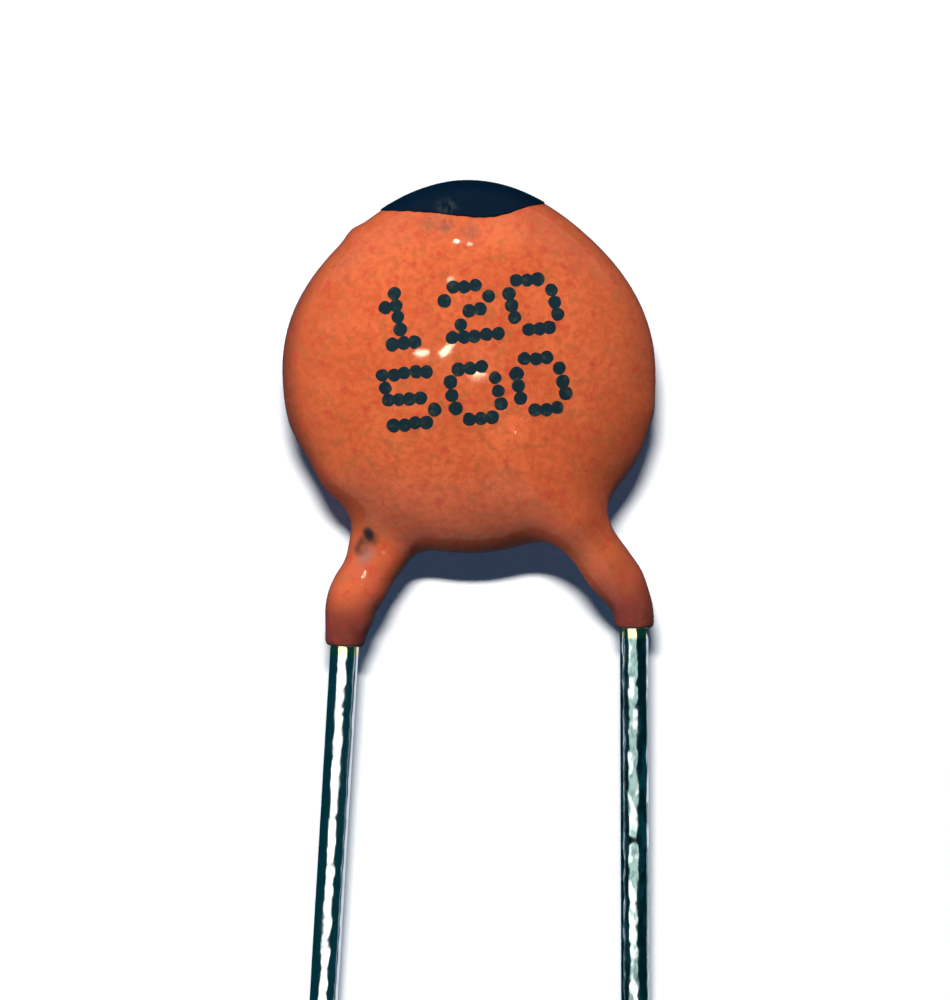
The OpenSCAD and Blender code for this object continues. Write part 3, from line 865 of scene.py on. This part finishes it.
@dataclass
class Coating:
    """Dipped coating over the disc and both legs."""

    form: DipForm
    voxel: float = 0.05
    smoothings: int = 2
    smoothing: float = 0.5
    sweep_step: float = 0.2
    sweep_sides: int = 24
    lens_segments: int = 64

    def build(self, pose: DiscPose) -> bpy.types.Object:
        """Builds the coating as one closed skin."""
        blank = self._blank()
        remesh = blank.modifiers.new("skin", "REMESH")
        remesh.mode = "VOXEL"
        remesh.voxel_size = self.voxel
        depsgraph = bpy.context.evaluated_depsgraph_get()
        mesh = bpy.data.meshes.new_from_object(blank.evaluated_get(depsgraph))
        bpy.data.objects.remove(blank)
        bm = bmesh.new()
        bm.from_mesh(mesh)
        bpy.data.meshes.remove(mesh)
        place_vertices(bm, self.form.settle(coordinates(bm)))
        axes = dict.fromkeys(("use_axis_x", "use_axis_y", "use_axis_z"), True)
        for _ in range(self.smoothings):
            bmesh.ops.smooth_vert(bm, verts=bm.verts, factor=self.smoothing, **axes)
        place_vertices(bm, self.form.wave(self.form.settle(coordinates(bm), turns=3)))
        resin = DippedResin().build(pose, self.form)
        return Piece("dipped_coating", "coating", ("coating",)).finish(bm, pose, resin)

    def _blank(self) -> bpy.types.Object:
        """Rough union of a lens and two legs that the skin settles from."""
        bm = bmesh.new()
        form = self.form
        size = Matrix.Diagonal((form.radius, form.radius, form.thickness / 2, 1))
        around, down = self.lens_segments, self.lens_segments // 2
        bmesh.ops.create_uvsphere(bm, u_segments=around, v_segments=down, radius=1.0, matrix=size)
        for route in (form.front, form.rear):
            stations = np.arange(form.leg_root, route.coat_end, self.sweep_step)
            stations = np.append(stations, route.coat_end - form.lip / 4)
            radii = np.full(len(stations), route.wire_radius + form.leg_coat)
            sweep_tube(bm, route, stations, radii, self.sweep_sides)
        return make_object("blank", bm)


def wire_frames(route: WireRoute, stations: np.ndarray, step: float = 0.01) -> list[Matrix]:
    """Frames square to a wire, with Z along it, at each station."""
    ahead, behind = route.points(stations + step), route.points(stations - step)
    frames = []
    for place, way in zip(route.points(stations), ahead - behind):
        forward = Vector(way).normalized()
        aside = forward.cross(Vector((0, 0, 1))).normalized()
        turn = Matrix((aside, aside.cross(forward), forward)).transposed().to_4x4()
        frames.append(Matrix.Translation(Vector(place)) @ turn)
    return frames


def sweep_tube(
    bm: BMesh, route: WireRoute, stations: np.ndarray, radii: np.ndarray, sides: int
) -> list[bmesh.types.BMVert]:
    """Sweeps a closed round bar along a wire.

    Args:
        bm: Where the bar is added.
        route: Wire that it follows.
        stations: Stations of its rings.
        radii: Radius of each ring.
        sides: Number of its sides.

    Returns:
        The vertices of the bar's last ring.
    """
    frames = wire_frames(route, stations)
    ring = bmesh.ops.create_circle(bm, cap_ends=True, segments=sides, radius=1.0)["verts"]
    start = frames[0] @ Matrix.Scale(radii[0], 4)
    bmesh.ops.transform(bm, matrix=start, verts=ring)
    edges = list({e for v in ring for e in v.link_edges if all(o in ring for o in e.verts)})
    last = start
    for placed, radius in zip(frames[1:], radii[1:]):
        made = bmesh.ops.extrude_edge_only(bm, edges=edges)["geom"]
        ring = [item for item in made if isinstance(item, bmesh.types.BMVert)]
        here = placed @ Matrix.Scale(radius, 4)
        bmesh.ops.transform(bm, matrix=here @ last.inverted(), verts=ring)
        swept = [item for item in made if isinstance(item, bmesh.types.BMEdge)]
        edges = [e for e in swept if all(v in ring for v in e.verts)]
        last = here
    bmesh.ops.contextual_create(bm, geom=edges)
    return ring


@dataclass
class Lead:
    """One tinned lead wire, from its end on the ceramic to its cut tip."""

    name: str
    node: str
    route: WireRoute
    patchiness: float
    sides: int = 28
    step: float = 0.22
    bend_step: float = 0.07
    past_kink: float = 0.3
    thick_and_thin: float = 0.012
    swell_grain: float = 0.8
    fade: float = 0.5
    cut_edge: float = 0.04

    def build(self, pose: DiscPose) -> bpy.types.Object:
        """Builds the wire."""
        stations = self._stations()
        route, sign = self.route, self.route.side.value
        tail = np.clip((stations - route.coat_end) / self.fade, 0, 1)
        line = np.stack([stations, 0 * stations, 0 * stations], axis=-1)
        swell = 1 + self.thick_and_thin * tail * wavy(line, self.swell_grain, float(sign))
        bm = bmesh.new()
        ring = sweep_tube(bm, route, stations, route.wire_radius * swell, self.sides)
        cut = [e for e in bm.edges if all(v in ring for v in e.verts)]
        shape = {"affect": "EDGES", "segments": 3, "profile": 0.5, "material": -1}
        bmesh.ops.bevel(bm, geom=cut, offset=self.cut_edge, **shape)
        # Middle of the coat's end, where the wire's finish paints a warm glint
        coat_end = tuple(pose.to_row(route.points(np.array(route.coat_end))))
        tin = TinnedSteel(f"tinned_{self.name}", -route.lean * sign, self.patchiness, coat_end)
        return Piece(self.name, "tinned_wire", (self.node,)).finish(bm, pose, tin.build())

    def _stations(self) -> np.ndarray:
        """Stations of the rings, closer through the bends."""
        route = self.route
        bends = np.arange(-route.overrun, route.kink_end + self.past_kink, self.bend_step)
        count = int((route.tip - bends[-1]) / self.step)
        return np.append(bends[:-1], np.linspace(bends[-1], route.tip, count))


@dataclass
class TipMark:
    """Film of ink over the crown, on both faces, down to a bowed and slightly ragged edge."""

    form: DipForm
    low: float = 2.72
    low_x: float = 0.3
    left_x: float = -1.57
    right_x: float = 1.36
    left_rise: float = 0.1
    right_rise: float = 0.22
    left_run: float = 1.4
    right_run: float = 1.05
    crown_y: float = 3.0
    inset: float = 0.985
    least_depth: float = 0.004
    crest: float = 0.1
    film: float = 0.022
    sunk: float = 0.006
    ragged: float = 0.014
    fray_noise: Pair = (0.13, 2.3)
    columns: int = 110
    rows: int = 60

    def edge(self, x: np.ndarray) -> np.ndarray:
        """Level of the film's lower edge at each place across the disc."""
        left = smooth_step((self.low_x - x) / self.left_run) * self.left_rise
        right = smooth_step((x - self.low_x) / self.right_run) * self.right_rise
        return self.low + left + right

    def build(self, pose: DiscPose) -> bpy.types.Object:
        """Builds the film as a thin closed shell."""
        bm = bmesh.new()
        bmesh.ops.create_grid(bm, x_segments=self.columns, y_segments=self.rows, size=1.0)
        u, v = coordinates(bm)[:, :2].T
        skin = self.form.wave(self.form.settle(self._wrap(u, v), turns=6))
        outward = self.form.normals(skin)
        place_vertices(bm, skin - self.sunk * outward)
        under = bm.verts[:]
        upper = bmesh.ops.duplicate(bm, geom=under + bm.edges[:] + bm.faces[:])["vert_map"]
        for vert, way in zip(under, outward):
            upper[vert].co = vert.co + Vector(way) * (self.film + self.sunk)
        bmesh.ops.bridge_loops(bm, edges=[e for e in bm.edges if e.is_boundary])
        ink = CapInk().build(pose)
        return Piece("crown_ink", "tip_ink", ("tip_mark",)).finish(bm, pose, ink)

    def _wrap(self, u: np.ndarray, v: np.ndarray) -> np.ndarray:
        """Wraps a square over the crown.

        Args:
            u: Place across the disc, from -1 to 1.
            v: Place from the front edge of the film at -1, over the rim, to its rear edge at 1.

        Returns:
            Points near the skin.
        """
        middle, half_width = (self.left_x + self.right_x) / 2, (self.right_x - self.left_x) / 2
        x = middle + self.inset * u * half_width
        crown = np.sqrt(self.form.rim(np.arctan2(self.crown_y, x)) ** 2 - x * x)
        fray = self.ragged * wavy(np.stack([x, np.sign(v), 0 * x], axis=-1), *self.fray_noise)
        off_crest = np.abs(v) > self.crest
        depth = np.maximum(crown - self.edge(x) - fray * off_crest, self.least_depth)
        turn = v * math.pi / 2
        y = crown - depth * (1 - np.cos(turn))
        reach = np.minimum(np.hypot(x, y) / self.form.rim(np.arctan2(y, x)), 1)
        half = self.form.thickness / 2
        z = -np.sign(v) * half * np.sqrt(np.maximum(1 - reach**self.form.fullness, TINY))
        return np.stack([x, y, z], axis=-1)


# Plain figures on a grid of five by five dots, the top row first
FIGURES = {
    "0": ("01110", "10001", "10001", "10001", "01110"),
    "1": ("00100", "01100", "00100", "00100", "01110"),
    "2": ("01110", "10001", "00110", "01000", "11111"),
    "5": ("11111", "10000", "11110", "00001", "11110"),
}
GRID_MIDDLE = 2


@dataclass
class JetPrint:
    """Two rows of plain figures, jetted onto the front face as dots of ink."""

    form: DipForm
    rows: tuple = (
        ("120", ((-1.26, 0.97), (0.02, 1.09), (1.17, 1.23))),
        ("500", ((-1.04, -0.47), (0.12, -0.37), (1.29, -0.2))),
    )
    across: float = 0.2024
    up: float = 0.2288
    climb: float = math.radians(6)
    lean: float = math.radians(12)
    dot: float = 0.122
    uneven: float = 0.1
    size_noise: Pair = (0.017, 1.7)
    jitter: float = 0.03
    jitter_noise: tuple[Pair, Pair] = ((0.011, 5.3), (0.013, 9.1))
    ragged: float = 0.09
    ragged_reach: float = 0.12
    ragged_scale: float = 12
    film: float = 0.008
    film_taper: float = 0.97
    crease: float = math.radians(40)
    sides: int = 20

    def build(self, pose: DiscPose) -> bpy.types.Object:
        """Builds all dots as one piece."""
        places = np.array(self._places())
        shifts = [wavy(places, grain, seed) for grain, seed in self.jitter_noise]
        spread = np.stack([*shifts, 0 * places[:, 0]], axis=-1)
        places = self.form.wave(self.form.settle(places + self.jitter * spread))
        sizes = self.dot * (1 + self.uneven * wavy(places, *self.size_noise))
        bm = bmesh.new()
        for place, normal, size in zip(places, self.form.normals(places), sizes):
            self._add_dot(bm, Vector(place), Vector(normal), float(size))
        piece = Piece("jet_dots", "tip_ink", crease=self.crease)
        return piece.finish(bm, pose, DOT_INK.build())

    def _add_dot(self, bm: BMesh, place: Vector, normal: Vector, size: float) -> None:
        """Adds one flat dot with a slightly ragged outline.

        Args:
            bm: Where the dot is added.
            place: Its middle on the skin.
            normal: Way out of the skin there.
            size: Its radius.
        """
        stand = Matrix.Translation(place) @ normal.to_track_quat("Z", "Y").to_matrix().to_4x4()
        shape = stand @ Matrix.Diagonal((size, size, self.film, 1))
        cone = {"radius1": 1.0, "radius2": self.film_taper, "depth": 1.0, "matrix": shape}
        made = bmesh.ops.create_cone(bm, cap_ends=True, segments=self.sides, **cone)
        for vert in made["verts"]:
            away = vert.co - place
            edge = place + away.normalized() * self.ragged_reach
            grow = 1 + self.ragged * noise.noise(edge * self.ragged_scale)
            vert.co = place + away * grow

    def _places(self) -> list[Triple]:
        """Middle of every dot, just over the dome."""
        places = []
        for figures, centres in self.rows:
            for figure, (x, y) in zip(figures, centres):
                for row, dots in enumerate(FIGURES[figure]):
                    for column, inked in enumerate(dots):
                        right = self.across * (column - GRID_MIDDLE)
                        rise = self.up * (GRID_MIDDLE - row)
                        px = x + right * math.cos(self.climb) - rise * math.sin(self.lean)
                        py = y + right * math.sin(self.climb) + rise * math.cos(self.lean)
                        if inked == "1":
                            places.append((px, py, self.form.thickness / 2))
        return places


@dataclass(frozen=True)
class Element:
    """Ceramic, silver and solder under the coating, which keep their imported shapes."""

    finishes: tuple = (
        (SOLDER_METAL, ("front_solder", "rear_solder")),
        (FIRED_SILVER, ("front_electrode", "rear_electrode")),
        (FIRED_CERAMIC, ("ceramic_disc",)),
    )

    def dress(self) -> None:
        """Gives each hidden solid its finish."""
        for finish, names in self.finishes:
            material = finish.build()
            for name in names:
                node = frame["nodes"][name]
                if not node.material_slots:
                    node.data.materials.append(None)
                for holder in node.material_slots:
                    holder.material = material
                LOG.info("%s: dressed", name)


# ---- Stage ----

COAT = ("dipped_coating", "crown_ink", "jet_dots")
WIRES = ("front_wire", "rear_wire")
PART = COAT + WIRES


def hang_light(
    name: str,
    shape: str,
    size: Pair,
    power: float,
    colour: Triple,
    place: Matrix,
    only: tuple[str, ...],
) -> bpy.types.Object:
    """Hangs an area light that the camera doesn't see.

    Args:
        name: Name of the light.
        shape: Blender's name of its shape.
        size: Its size along X and Y, in metres.
        power: Its power, in watts.
        colour: Its colour.
        place: Where it hangs and how it is turned. It shines along its own -Z.
        only: Names of the objects that it lights.

    Returns:
        The light's object.
    """
    light = bpy.data.lights.new(name, "AREA")
    light.shape = shape
    light.size, light.size_y = size
    light.color, light.energy = colour, power
    made = bpy.data.objects.new(name, light)
    made.matrix_world = place
    made.visible_camera = False
    lit = bpy.data.collections.new(f"lit_by_{name}")
    for piece in only:
        lit.objects.link(bpy.data.objects[piece])
    made.light_linking.receiver_collection = lit
    bpy.context.scene.collection.objects.link(made)
    return made


@dataclass(frozen=True)
class Lamp:
    """Soft oval lamp that looks at the part, with its width along X and its depth along Y."""

    name: str
    towards: Triple
    size: Pair
    level: float
    only: tuple[str, ...]
    distance: float = 0.3
    colour: Triple = (1.0, 1.0, 1.0)
    matt: bool = True
    gloss: bool = True

    def build(self, aim: Vector) -> None:
        """Hangs the lamp and turns it to the middle of the part."""
        power = self.level * math.pi**2 * self.distance**2
        way = Vector(self.towards).normalized()
        across = Vector((0, 1, 0)).cross(way).normalized()
        turn = Matrix((across, way.cross(across), way)).transposed().to_4x4()
        place = Matrix.Translation(aim + way * self.distance) @ turn
        made = hang_light(self.name, "ELLIPSE", self.size, power, self.colour, place, self.only)
        made.visible_diffuse = self.matt
        made.visible_glossy = self.gloss


LAMPS = (
    Lamp("key", (0.129, 0.841, 1.0), (0.08, 0.08), 0.82, PART, gloss=False),
    Lamp("side", (-1.129, 0.489, 1.0), (0.12, 0.12), 0.62, PART, gloss=False),
    Lamp("fill", (0.0, 0.01, 1.0), (0.7, 0.7), 0.16, PART, gloss=False),
    Lamp("paper_lamp", (-0.05, 0.41, 1.0), (0.075, 0.02), 1.17, ("paper",)),
    Lamp("strip", (-0.2, -0.08, 1.0), (0.42, 0.12), 0.27, WIRES, matt=False),
)
# Way out, size and level of the small lamps that glint in the coat
GLINTS = (
    ((-0.154, 0.010, 1.0), (0.026, 0.007), 0.0160),
    ((-0.052, 0.000, 1.0), (0.009, 0.006), 0.0080),
    ((0.030, -0.068, 1.0), (0.003, 0.004), 0.0035),
    ((-0.083, 0.711, 1.0), (0.010, 0.013), 0.0220),
    ((0.012, 0.676, 1.0), (0.009, 0.010), 0.0070),
    ((-0.106, 0.319, 1.0), (0.010, 0.010), 0.0050),
)


@dataclass
class Stage:
    """White paper, lamps, dark cards, room and camera."""

    aim: Vector = field(default_factory=lambda: Vector((0.000264, 0.008264, 0.0012)))
    view_height: float = 0.0177
    camera_height: float = 0.4
    film_width: float = 36
    clip: Pair = (0.01, 5.0)
    floor_size: float = 3.0
    glint_distance: float = 0.35
    glint_colour: Triple = (1.0, 0.9, 0.62)
    slip_height: float = 0.00002
    glow_height: float = 0.0001
    wire_ends: Pair = (0.0058, -0.014)
    wire_lines: tuple[Pair, Pair] = ((-0.00198, -0.00318), (0.00308, 0.00315))
    edge_glow: float = 0.002
    edge_colour: Triple = (0.86, 0.86, 1.0)
    side_cards: tuple = (("flag_left", -47, -92), ("flag_right", 25, 92))
    card_radius: float = 0.25
    card_length: float = 0.2
    floor_card: Triple = (0.27, -0.04, 0.045)
    sky: Colour = tone(60, 78, 92)
    sky_level: float = 0.15
    wall: Colour = (0.42, 0.43, 0.44, 1.0)
    wall_slant: Pair = (0.45, 0.7)

    def build(self) -> None:
        """Sets everything up around the part."""
        bm = bmesh.new()
        bmesh.ops.create_grid(bm, x_segments=4, y_segments=4, size=self.floor_size / 2)
        make_object("paper", bm, Paper().build())
        self._cards()
        self._room()
        self._edge_glows()
        for lamp in LAMPS:
            lamp.build(self.aim)
        look = {"distance": self.glint_distance, "colour": self.glint_colour, "matt": False}
        for number, (towards, size, level) in enumerate(GLINTS):
            Lamp(f"glint_{number}", towards, size, level, COAT, **look).build(self.aim)
        self._camera()

    def _cards(self) -> None:
        """Sets dark cards that only reflections see: one on each side and one on the paper."""
        cloth = FlagCloth().build()
        half = self.card_length / 2
        for name, *slants in self.side_cards:
            near, far = (
                self.aim + Vector((math.sin(slant), 0, math.cos(slant))) * self.card_radius
                for slant in map(math.radians, slants)
            )
            ends = ((near, -half), (near, half), (far, half), (far, -half))
            self._card(name, [edge + Vector((0, y, 0)) for edge, y in ends], cloth)
        wide, low, high = self.floor_card
        ends = ((-wide, low), (wide, low), (wide, high), (-wide, high))
        self._card("flag_floor", [Vector((x, y, self.slip_height)) for x, y in ends], cloth)

    def _card(self, name: str, corners: list[Vector], cloth: Material) -> None:
        """Sets up one four-sided card that only reflections see."""
        bm = bmesh.new()
        bmesh.ops.contextual_create(bm, geom=[bm.verts.new(corner) for corner in corners])
        card = make_object(name, bm, cloth)
        card.visible_camera = card.visible_diffuse = card.visible_shadow = False
        card.visible_transmission = False

    def _edge_glows(self) -> None:
        """Lays a pale glow on the paper to the right of each wire, which only the wires mirror."""
        top_y, foot_y = self.wire_ends
        for name, (top_x, foot_x) in zip(("edge_left", "edge_right"), self.wire_lines):
            size = (self.edge_glow, math.hypot(top_x - foot_x, top_y - foot_y))
            power = math.pi * size[0] * size[1]
            across = (top_x + foot_x + self.edge_glow) / 2
            middle = Vector((across, (top_y + foot_y) / 2, self.glow_height))
            slant = Matrix.Rotation(math.atan2(foot_x - top_x, top_y - foot_y), 4, "Z")
            place = Matrix.Translation(middle) @ slant @ Matrix.Rotation(math.pi, 4, "Y")
            made = hang_light(name, "RECTANGLE", size, power, self.edge_colour, place, WIRES)
            made.visible_diffuse = False

    def _room(self) -> None:
        """Dims the room, white to the eye, with pale walls ahead and behind in reflections."""
        world = bpy.data.worlds.new("room")
        world.use_nodes = True
        g = NodeGraph(world.node_tree)
        path = g.node("ShaderNodeLightPath", {}).outputs
        way = g.node("ShaderNodeTexCoord", {}).outputs["Generated"]
        slant = g.calc("ABSOLUTE", g.node("ShaderNodeSeparateXYZ", {0: way}).outputs["Y"])
        mirrored = g.calc("MAXIMUM", path["Is Glossy Ray"], path["Is Transmission Ray"])
        share = g.calc("MULTIPLY", g.span(slant, *self.wall_slant), mirrored)
        dim = tuple(c * self.sky_level for c in self.sky[:3]) + (1.0,)
        colour = g.mix(share, dim, self.wall)
        white = g.mix(path["Is Camera Ray"], colour, (1.0, 1.0, 1.0, 1.0))
        g.tree.links.new(white, g.tree.nodes["Background"].inputs["Color"])
        bpy.context.scene.world = world

    def _camera(self) -> None:
        """Hangs the camera straight over the part."""
        data = bpy.data.cameras.new("camera")
        data.sensor_width = self.film_width
        data.lens = self.film_width * self.camera_height / self.view_height
        data.clip_start, data.clip_end = self.clip
        made = bpy.data.objects.new("camera", data)
        made.location = self.aim + Vector((0, 0, self.camera_height))
        bpy.context.scene.collection.objects.link(made)
        bpy.context.scene.camera = made


# Lumps, hollows and the pit that the dip left, and the fuller coat on the inner sides of the legs
SKIN_MARKS = (
    Swell(-2.1, 2.5, 0.22, 0.06),
    Swell(3.2, -0.7, 0.25, 0.03),
    Swell(2.75, -3.3, 0.35, 0.03),
    Swell(-3.2, -1.0, 0.5, 0.05),
    Swell(-1.77, -2.9, 0.1, -0.015, Side.FRONT),
    Swell(-1.32, -3.5, 0.4, 0.11),
    Swell(-1.6, -4.05, 0.4, 0.12),
    Swell(-1.75, -4.45, 0.25, 0.07),
    Swell(-2.3, -3.35, 0.22, -0.06),
    Swell(-2.55, -2.1, 0.45, 0.07),
    Swell(2.15, -3.95, 0.4, 0.05),
    Swell(3.05, -3.55, 0.25, 0.04),
)


def main() -> None:
    """Builds the part and its stage."""
    logging.basicConfig(level=logging.INFO, format="%(name)s %(message)s")
    pose = DiscPose.from_row()
    front = WireRoute(Side.FRONT, kink_x=2.93, splay=0.2, coat_run=0.44)
    rear = WireRoute(Side.REAR, kink_x=2.15, splay=3.4, coat_run=0.76)
    form = DipForm(front, rear, swells=SKIN_MARKS)
    Coating(form).build(pose)
    TipMark(form).build(pose)
    JetPrint(form).build(pose)
    Lead("front_wire", "front_lead", front, patchiness=0.9).build(pose)
    Lead("rear_wire", "rear_lead", rear, patchiness=0.12).build(pose)
    Element().dress()
    Stage().build()
    bpy.context.scene.view_settings.view_transform = "Standard"


if __name__ == "__main__":
    main()
